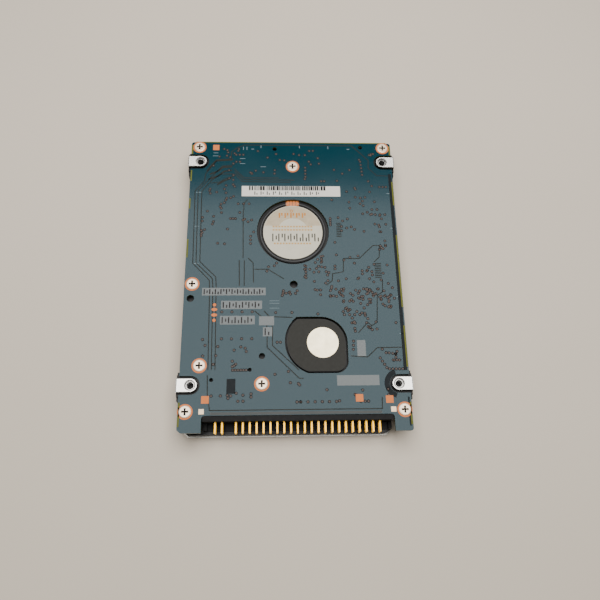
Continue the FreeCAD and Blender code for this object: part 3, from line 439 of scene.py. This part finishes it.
# (x, y, step x, step y, how many) of evenly spaced vias
VIA_ROWS = [
    (-22.2, -13.3, 3.1, 0, 4), (-5.7, -13.6, 5.0, 0, 2), (-22.1, -21.9, 3.05, 0, 4),
    (-18.9, 43.4, 1.2, 0, 3), (-18.8, 40.6, 1.2, 0, 2), (-19.7, 35.3, 0, -1.8, 3), (-17.9, 24.4, 1.8, 0, 3),
    (-25.8, 19.7, 0, -1.9, 2), (-23.5, 24.3, 0.1, -1.6, 3), (-29.4, 19.3, 0, -1.3, 2),
    (-22.0, 28.5, 0.3, -2.0, 2), (-20.3, 18.9, 0.8, 0, 3), (-13.7, 12.5, 0, -1.3, 3),
    (-24.2, 10.0, 2.2, -0.2, 2), (2.5, 43.4, 2.0, 0, 2), (5.8, 40.8, 0.6, -1.1, 2), (4.5, 38.4, 0, -1.2, 4),
    (9.8, 33.1, 1.0, 0, 2), (23.4, 40.9, 0.1, -1.3, 5), (29.4, 31.0, 1.1, 0, 3), (26.3, 22.4, 1.7, 0, 2),
    (25.7, 20.5, 1.6, 0, 4), (28.4, 16.0, 0, -1.8, 2), (12.3, 19.0, 0, -0.8, 6), (11.4, 19.0, 0, -0.8, 6),
    (8.0, 1.9, 1.0, -0.2, 3), (13.2, 2.0, 0, -1.0, 2), (16.6, -2.4, 3.7, 0, 3), (9.4, 10.0, -0.6, -1.4, 5),
    (3.9, 2.0, 0, -1.0, 5), (12.0, -41.2, -2.1, 0, 6), (20.4, -41.2, 1.0, 0, 2), (0.4, -41.2, 1.0, 0, 2),
    (17.9, -22.9, -0.1, -1.3, 3), (13.9, -14.4, 1.6, 0, 6), (25.7, -28.2, 0.6, -1.0, 4),
    (28.3, -31.6, 1.0, 0, 5), (26.5, -25.5, 1.1, -1.1, 2), (-13.0, -38.7, 0, -0.9, 2),
    (-16.8, -40.8, 1.5, 0, 2), (-18.5, -31.6, 0.8, 0, 6), (-5.3, -23.1, 1.0, 0, 2),
    (-24.6, -39.2, 2.7, 0, 2), (21.0, 30.6, 0, -3.6, 2), (-23.6, -27.1, 0.5, 2.8, 2),
    (13.0, -18.0, 0, 0, 1), (31.5, -28.9, -1.6, 0, 2), (7.3, -14.1, 0, 0, 1),
]
# (x, y, half width, half depth, how many) of loose groups of vias
VIA_GROUPS = [
    (17.5, -7.5, 6.5, 3.0, 34), (26.0, -7.5, 3.4, 2.0, 18), (9.5, -6.0, 3.0, 3.0, 9),
    (20.0, -13.0, 4.5, 1.0, 8), (-1.6, -7.6, 3.0, 1.4, 10), (29.5, -10.0, 1.2, 2.2, 9),
    (-17.5, -25.2, 3.0, 0.8, 4), (-18.0, -40.0, 3.0, 1.6, 5), (24.0, -18.0, 2.0, 1.4, 8),
    (18.4, -18.5, 0.9, 2.6, 6), (7.0, 2.0, 3.6, 2.6, 9), (-6.0, 1.5, 3.0, 2.0, 4),
    (-10.5, 36.5, 5.0, 1.8, 6), (-27.0, 29.0, 2.0, 1.0, 4), (-29.0, 14.0, 0.8, 1.6, 5),
    (28.6, 8.6, 1.6, 1.0, 5), (22.0, 25.4, 1.6, 1.6, 4), (0.0, 30.0, 22.0, 12.0, 10),
    (-2.0, -34.0, 4.5, 2.4, 6), (-24.5, 44.6, 3.0, 2.4, 7), (27.5, 43.5, 2.0, 1.4, 5),
    (18.0, 16.0, 8.0, 8.0, 7), (29.6, -27.0, 1.6, 2.0, 8), (27.6, -38.6, 1.0, 1.6, 7),
    (-21.0, 23.0, 9.0, 9.0, 20), (22.0, 24.0, 9.0, 10.0, 22), (14.0, 0.0, 12.0, 6.0, 26),
    (-2.0, 41.0, 26.0, 5.0, 22), (-20.0, -27.0, 8.0, 5.0, 8), (22.0, -12.0, 8.0, 5.0, 14),
    (14.0, -39.5, 8.0, 2.0, 6), (29.5, 0.0, 2.0, 30.0, 14),
]
BOARD_SCREWS = [
    (-31.35, 46.3), (31.35, 46.3), (0.2, 38.8), (-31.66, -4.06),
    (-28.41, -30.13), (-9.88, -35.75), (-31.95, -43.7), (31.95, -43.7),
]
# (x0, x1, y0, y1, how many bars) of the lighter printed blocks
PRINTED = [
    (-28.5, -8.8, -7.9, -5.4, 11), (-22.5, -9.9, -12.4, -9.7, 6), (-22.7, -12.1, -17.4, -14.6, 5),
    (-10.8, -6.2, -17.7, -14.8, 0), (-9.6, -6.8, -21.2, -18.3, 1), (12.4, 25.0, -36.5, -33.4, 0),
    (18.9, 21.5, -27.6, -22.6, 0),
]
# (x, y, width, height) of small pale ticks along the edges
LEGEND = [
    (-26.6, 44.0, 1.6, 0.15), (-26.8, 42.8, 2.0, 0.15), (-16.6, 45.4, 0.2, 1.2), (-15.4, 45.4, 0.2, 1.2),
    (-13.8, 45.6, 0.9, 0.2), (-10.6, 46.2, 0.2, 1.0), (2.6, 46.2, 0.2, 1.0), (12.4, 46.0, 0.2, 1.0),
    (19.0, 45.8, 0.9, 0.2), (-17.6, 41.8, 1.8, 0.15), (-17.6, 39.8, 1.8, 0.15), (-10.6, 38.6, 1.8, 0.15),
    (-31.9, 28.6, 1.8, 0.16), (-31.9, 16.0, 1.4, 0.16), (-31.6, 2.8, 1.6, 0.16), (31.6, 28.4, 1.4, 0.16),
    (32.0, 15.4, 1.4, 0.16), (32.2, -8.6, 1.2, 0.16), (32.2, -20.6, 1.2, 0.16), (-7.6, -9.8, 3.0, 0.1),
    (-7.6, -10.6, 3.0, 0.1), (-7.6, -12.2, 3.0, 0.1),
]
# (x, y, half width) of the square plated pads
SQUARE_PADS = [
    (-25.76, 46.24, 1.05), (-26.31, -40.29, 1.1), (18.79, -40.19, 1.1), (27.68, -40.66, 1.1),
]
# (side, y0, y1) of the stretches of edge where the laminate is bare
BARE_EDGES = [
    (-1, 43.6, 47.2), (-1, 22.6, 26.4), (-1, 5.0, 11.5), (-1, 33.0, 37.2), (1, 43.6, 47.2),
    (1, 24.0, 33.0), (1, -12.0, 13.0), (1, -31.0, -18.0), (1, -48.0, -41.5), (-1, -48.0, -41.0),
]
# What the vias keep clear of
BOARD_HALF_WIDTH = 33.2
BOARD_ENDS = (-43.3, 47.6)
MOTOR_RADIUS = 11.9
PANEL_CENTRE = (7.4, -22.9)
PANEL_RADIUS = 10.6
PANEL_RIGHT = 16.6
PANEL_ENDS = (-33.1, -14.7)
LABEL_AREA = (-17.2, 16.4, 26.8, 31.5)
LANDING_ROOM = (3.4, 3.3)


def clear_of_openings(x, y):
    """Whether a via at (x, y) is on the board, with room round its openings and its label."""
    room = 0.6
    if abs(x) > BOARD_HALF_WIDTH or not BOARD_ENDS[0] < y < BOARD_ENDS[1]:
        return False
    if math.hypot(x - SPINDLE[0], y - SPINDLE[1]) < MOTOR_RADIUS + room:
        return False
    near, far = PANEL_ENDS
    round_panel = math.hypot(x - PANEL_CENTRE[0], y - PANEL_CENTRE[1]) < PANEL_RADIUS + room
    if round_panel and x < PANEL_RIGHT + room and near - room < y < far + room:
        return False
    left, right, near, far = LABEL_AREA
    if left - room < x < right + room and near - room < y < far + room:
        return False
    across, along = LANDING_ROOM
    return all(abs(abs(x) - HOLE_X) > across or abs(y - hole) > along for hole in HOLE_Y)


def cross_arm(x, y, quarter):
    """The box (x0, x1, y0, y1) of one arm of a cross recess, for each quarter turn."""
    reach, half, start = 1.05, 0.30, 0.40
    if quarter % 2 == 0:
        sign = 1 - quarter
        low, high = sorted((x + sign * start, x + sign * reach))
        return low, high, y - half, y + half
    sign = 2 - quarter
    low, high = sorted((y + sign * start, y + sign * reach))
    return x - half, x + half, low, high


def glyph(solid, draw, x, y, wide, tall, low, high):
    """Loose strokes that fill the place of one printed character, and form none."""
    stroke = min(0.36, wide * 0.3)
    solid.box(x, x + stroke, y, y + tall, low, high)
    rise = draw.choice((0.0, 0.25, 0.5))
    right = x + wide - stroke
    solid.box(right, right + stroke, y + tall * rise, y + tall * (rise + 0.5), low, high)


def board_marks():
    """Gaps in the copper, vias, plated rings and pads, and the plain blocks of the screen print."""
    low = BOARD_TOP
    gaps = Solid()
    for path in GAPS:
        gaps.strip(path, 0.28, low, low + SKIN)
    # A band without copper follows the right edge of the board.
    band = Solid()
    band.strip([(33.15, 36.0), (33.2, 10.0), (33.2, -12.0), (33.1, -32.0)], 1.1, low, low + SKIN)
    band.strip([(33.35, -40.0), (33.3, -48.4)], 0.5, low, low + SKIN)
    # Other wide areas without copper
    band.box(-20.2, -17.6, -38.6, -34.2, low, low + SKIN)
    band.ring(HOLE_X, HOLE_Y[0], 2.9, 4.4, low, low + SKIN, 20, math.radians(105), math.radians(150))
    band.piece("bare_bands", "band", "circuit_board")
    for k in range(9):
        gaps.box(25.9, 28.0, -2.1 + 0.6 * k, -1.8 + 0.6 * k, low, low + SKIN)
        gaps.box(14.2, 15.8, 12.3 + 0.6 * k, 12.6 + 0.6 * k, low, low + SKIN)
    # Heavy tracks gather at the far left corner.
    for path in HEAVY:
        gaps.strip(path, 0.55, low, low + SKIN)
    gaps.piece("copper_gaps", "gap", "circuit_board")

    draw = random.Random(27)
    centres = []
    for x, y, step_x, step_y, count in VIA_ROWS:
        centres += [(x + step_x * k, y + step_y * k) for k in range(count)]
    for x, y, half_x, half_y, count in VIA_GROUPS:
        for _ in range(count):
            centres.append((x + draw.uniform(-half_x, half_x), y + draw.uniform(-half_y, half_y)))
    via_rings = Solid()
    via_pads = Solid()
    for x, y in centres:
        if clear_of_openings(x, y):
            via_rings.ring(x, y, 0.28, 0.49, low, low + SKIN, 12)
            via_pads.ring(x, y, 0.09, 0.29, low, low + SKIN * 1.5, 12)
    via_rings.piece("via_rings", "via", "circuit_board")
    via_pads.piece("via_pads", "via_pad", "circuit_board")

    rings = Solid()
    for x, y in BOARD_SCREWS:
        rings.ring(x, y, 1.06, 2.25, low, low + SKIN * 2, 40)
    for x, y, half in SQUARE_PADS:
        rings.box(x - half, x + half, y - half, y + half, low, low + SKIN * 2)
    for y, wide in ((-11.0, 1.0), (-12.5, 1.7), (-14.3, 1.7), (-16.0, 1.0)):
        rings.disc(-24.5, y, 0.52, low, low + SKIN * 2, 20, wide)
    rings.piece("plated_pads", "copper", "circuit_board")
    # Where the board was routed out of its panel, bare laminate shows along the edge.
    olive = Solid()
    for side, y0, y1 in BARE_EDGES:
        middle = side * 33.74
        olive.box(middle - 0.22, middle + 0.22, y0, y1, low, low + SKIN * 2)
    olive.box(-32.6, 32.6, 48.25, 48.55, low, low + SKIN)
    olive.piece("bare_edges", "olive", "circuit_board")
    # Each screw has a dark cross at the bottom of its recess and another on its head: painted shade, where
    # the cross recess lies in shadow.
    crosses = Solid()
    reach, half, start = 0.93, 0.18, 0.19
    bottom = (low - 0.13, low - 0.06)
    head = (low + 0.3, low + 0.3 + SKIN)
    for x, y in BOARD_SCREWS:
        crosses.box(x - reach, x + reach, y - half, y + half, *bottom)
        crosses.box(x - half, x + half, y - reach, y - start, *bottom)
        crosses.box(x - half, x + half, y + start, y + reach, *bottom)
        crosses.disc(x, y, 0.42, *head, 16)
        for k in range(4):
            crosses.box(*cross_arm(x, y, k), *head)
    crosses.piece("painted_cross_shade", "recess", "board_screws")
    solder = Solid()
    for x, y in ((-27.27, -43.71), (28.64, -43.59)):
        solder.box(x - 0.75, x + 0.75, y - 0.75, y + 0.75, low, low + 0.06)
    solder.piece("solder_squares", "tin", "circuit_board")
    strip = Solid()
    strip.box(-24.7, 25.2, -44.75, -43.95, low, low + SKIN)
    strip.piece("bare_strip", "bare", "circuit_board")

    blocks = Solid()
    marks = Solid()
    for x0, x1, y0, y1, bars in PRINTED:
        blocks.box(x0, x1, y0, y1, low, low + SKIN * 2)
        pitch = (x1 - x0 - 0.8) / max(bars, 1)
        for k in range(bars):
            glyph(marks, draw, x0 + 0.5 + k * pitch, y0 + 0.4, min(pitch * 0.72, 1.5), y1 - y0 - 0.8,
                  low + SKIN * 2, low + SKIN * 3)
    blocks.piece("printed_blocks", "print", "circuit_board")
    marks.piece("printed_bars", "print_dark", "circuit_board")

    legend = Solid()
    for x, y, wide, tall in LEGEND:
        legend.box(x, x + wide, y, y + tall, low, low + SKIN)
    legend.piece("legend_ticks", "legend", "circuit_board")


def labels():
    """Bars on the white label, and dashes where its characters would be."""
    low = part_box("barcode_label")[1][2] / MM
    draw = random.Random(5)
    bars = Solid()
    x = -14.4
    while x < 10.4:
        wide = draw.choice((0.22, 0.34, 0.50, 0.70))
        bars.box(x, x + wide, 29.45, 31.05, low, low + SKIN)
        x += wide + draw.choice((0.18, 0.22, 0.34))
    for k in range(11):
        glyph(bars, draw, -12.6 + 2.05 * k, 27.75, 1.0, 1.3, low, low + SKIN)
    bars.piece("label_bars", "ink", "barcode_label")


def motor_face():
    """The bright disc on the motor: a duller window at the top, and plain bars for its print."""
    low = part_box("motor_label")[1][2] / MM
    cx, cy = SPINDLE
    window = Solid()
    chord, middle, limit, outer = 2.29, 5.0, 9.4, 9.45
    first, sweep, count = 14, 152, 24

    def spoke(k):
        """The inner and the outer corner of the window at one of its divisions."""
        turn = math.radians(first + sweep * k / count)
        inner = min(max(chord / max(math.sin(turn), 0.05), middle), limit)
        return [(cx + r * math.cos(turn), cy + r * math.sin(turn)) for r in (inner, outer)]

    # The window is made of slices, because its outline isn't convex.
    for k in range(count):
        near_in, near_out = spoke(k)
        far_in, far_out = spoke(k + 1)
        window.prism([near_in, near_out, far_out, far_in], low, low + SKIN)
    window.piece("motor_window", "disc_dull", "motor_label")
    gold = Solid()
    for k in range(5):
        left = cx - 4.6 + 1.9 * k
        gold.box(left, left + 0.5, cy + 5.2, cy + 7.0, low + SKIN, low + SKIN * 2)
        gold.box(left + 0.8, left + 1.3, cy + 6.0, cy + 7.0, low + SKIN, low + SKIN * 2)
    gold.ring(cx - 0.4, cy + 7.7, 0.3, 0.55, low + SKIN, low + SKIN * 2, 20)
    gold.piece("motor_gold_bars", "gold_ink", "motor_label")
    tan = Solid()
    for y, wide, left in ((1.7, 13.6, -6.6), (0.5, 13.6, -6.6), (-4.4, 12.4, -6.2)):
        for k in range(int(wide / 0.95)):
            tan.box(cx + left + 0.95 * k, cx + left + 0.95 * k + 0.62, cy + y, cy + y + 0.55, low, low + SKIN)
    tan.piece("motor_tan_bars", "tan_ink", "motor_label")
    dark = Solid()
    draw = random.Random(9)
    for k in range(8):
        glyph(dark, draw, cx - 6.7 + 1.95 * k, cy - 3.4, 1.45, 2.8, low + SKIN, low + SKIN * 2)
    dark.piece("motor_dark_bars", "ink", "motor_label")
    # A thin lighter ring on the black bracket is a painted highlight, where its glossy coat catches the
    # light.
    highlight_ring = Solid()
    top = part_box("motor_bracket")[1][2] / MM
    highlight_ring.ring(cx, cy, 10.36, 10.56, top, top + SKIN, 96, math.radians(102), math.radians(336))
    highlight_ring.piece("bracket_painted_highlight", "highlight_ring", "motor_bracket")
    leads = Solid()
    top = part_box("motor_flex")[1][2] / MM
    for k in range(4):
        left = cx - 1.75 + 0.98 * k
        leads.box(left, left + 0.56, cy + 9.85, cy + 11.6, top, top + 0.03)
    leads.piece("motor_leads", "copper", "motor_flex")


def head_flex():
    """The flex strip, drawn along a fixed curve in place of the CAD strip."""
    knots = [(5.70, -28.08), (3.4, -32.2), (-0.5, -36.4), (-6.5, -38.0), (-11.0, -36.2), (-12.9, -33.0)]
    path = []
    for i in range(len(knots) - 1):
        before = Vector(knots[max(i - 1, 0)])
        here = Vector(knots[i])
        after = Vector(knots[i + 1])
        beyond = Vector(knots[min(i + 2, len(knots) - 1)])
        for k in range(10):
            t = k / 10
            path.append(tuple(0.5 * (2 * here + (after - before) * t
                                     + (2 * before - 5 * here + 4 * after - beyond) * t * t
                                     + (3 * here - before - 3 * after + beyond) * t ** 3)))
    path.append(knots[-1])
    strip = Solid()
    strip.strip(path, 0.16, 2.2, 5.2)
    traces = Solid()
    for k in range(5):
        traces.strip(path, 0.18, 2.45 + 0.55 * k, 2.7 + 0.55 * k)
    for name, solid, look in (("flex_strip", strip, "polyimide"), ("flex_traces", traces, "copper")):
        made = solid.piece(name, look, "head_flex_cable", body=None)
        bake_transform(made)
        if name == "flex_strip":
            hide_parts("head_flex_cable")


def landing_rims():
    """The black coat that is left round the edge of each milled landing."""
    reach = 2.0         # half the depth of a landing, to the middle of its rim
    centre = 30.8       # the middle of its round end, across the width
    outer = 34.82       # the middle of its rim along the casting's side
    rims = Solid()
    for side in (-1, 1):
        for y in HOLE_Y:
            arc = [(side * (centre - reach * math.cos(turn)), y + reach * math.sin(turn))
                   for turn in map(math.radians, range(-90, 91, 10))]
            path = [(side * outer, y - reach)] + arc + [(side * outer, y + reach)]
            rims.strip(path, 0.2, PAD_TOP, PAD_TOP + SKIN)
            rims.box(*sorted((side * 34.7, side * 34.9)), y - reach, y + reach, PAD_TOP, PAD_TOP + SKIN)
    rims.piece("landing_rims", "black", "base_casting")


def threads():
    """Ridges inside the four tapped mounting holes."""
    ridges = Solid()
    for side in (-1, 1):
        for y in HOLE_Y:
            for k in range(6):
                low = PAD_TOP - 3.3 + 0.5 * k
                high = PAD_TOP - 3.08 + 0.5 * k
                ridges.ring(side * HOLE_X, y, 1.12, 1.26, low, high, 28)
    ridges.piece("mount_threads", "milled", "base_casting")


def cover_art():
    """Plain blocks and lines on the label under the drive."""
    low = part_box("cover_label")[0][2] / MM
    under = low - SKIN
    art = Solid()
    art.box(-24.0, 24.0, 33.6, 36.6, under, low)
    for k in range(7):
        art.box(-24.0, 4.0 - (k % 3) * 5.0, 27.0 - 3.0 * k, 27.9 - 3.0 * k, under, low)
    for k in range(18):
        left = 8.0 + 0.9 * k
        art.box(left, left + (0.3, 0.5, 0.2)[k % 3], 18.0, 26.0, under, low)
    for k in range(9):
        art.box(-24.0, 22.0 - (k % 4) * 6.0, -4.0 - 2.6 * k, -3.3 - 2.6 * k, under, low)
    art.ring(13.0, 6.0, 3.4, 3.8, under, low, 40)
    art.piece("cover_label_art", "ink", "cover_label")


board_marks()
labels()
motor_face()
head_flex()
landing_rims()
threads()
cover_art()


# --------------------------------------------------------------------------------------------
# Floor, light and camera
# --------------------------------------------------------------------------------------------
def floor():
    look = Look("floor", 0.75, specular=0.1)
    look.colour(look.mix(look.noise(0.01, 3.0), rgb(203, 193, 178), rgb(209, 199, 185)))
    look.bump(look.noise(0.8, 6.0), 0.25, 0.05)
    half = 1.5
    level = -0.03 * MM
    mesh = bpy.data.meshes.new("floor")
    mesh.from_pydata([(-half, -half, level), (half, -half, level), (half, half, level), (-half, half, level)],
                     [], [[0, 1, 2, 3]])
    mesh.materials.append(look.material)
    made = bpy.data.objects.new("floor", mesh)
    bpy.context.scene.collection.objects.link(made)


def panel_light(name, place, target, width, depth, radiance, colour):
    """A soft box. Its power is what gives that radiance over its area."""
    lamp = bpy.data.lights.new(name, "AREA")
    lamp.shape = "RECTANGLE"
    lamp.size = width * MM
    lamp.size_y = depth * MM
    lamp.energy = radiance * math.pi * lamp.size * lamp.size_y
    lamp.color = colour
    made = bpy.data.objects.new(name, lamp)
    bpy.context.scene.collection.objects.link(made)
    made.location = Vector(place) * MM
    made.rotation_euler = (Vector(target) - Vector(place)).to_track_quat("-Z", "Y").to_euler()


def world(strength, colour):
    made = bpy.data.worlds.new("studio")
    made.use_nodes = True
    made.node_tree.nodes["Background"].inputs["Color"].default_value = list(colour) + [1.0]
    made.node_tree.nodes["Background"].inputs["Strength"].default_value = strength
    bpy.context.scene.world = made


def camera(place, azimuth, elevation, roll, lens):
    """A camera at a place in millimetres. Azimuth, elevation and roll are in degrees."""
    turn, rise, lean = (math.radians(a) for a in (azimuth, elevation, roll))
    back = Vector((math.sin(turn) * math.cos(rise), -math.cos(turn) * math.cos(rise), math.sin(rise)))
    level = Vector((math.cos(turn), math.sin(turn), 0))
    right = level * math.cos(lean) + back.cross(level) * math.sin(lean)
    up = back.cross(right)
    made = bpy.data.objects.new("camera", bpy.data.cameras.new("camera"))
    made.data.lens = lens
    made.data.sensor_width = 36.0
    made.data.clip_start = 0.001
    bpy.context.scene.collection.objects.link(made)
    matrix = Matrix((right, up, back)).transposed().to_4x4()
    matrix.translation = Vector(place) * MM
    made.matrix_world = matrix
    bpy.context.scene.camera = made


floor()
world(0.14, (1.0, 0.97, 0.92))
panel_light("soft_box", (10, 88, 420), (10, 88, 0), 420, 366, 7.4, (1.0, 0.975, 0.94))
camera((-5.875, -71.894, 177.43), -7.067, 69.511, 6.408, 34.69)
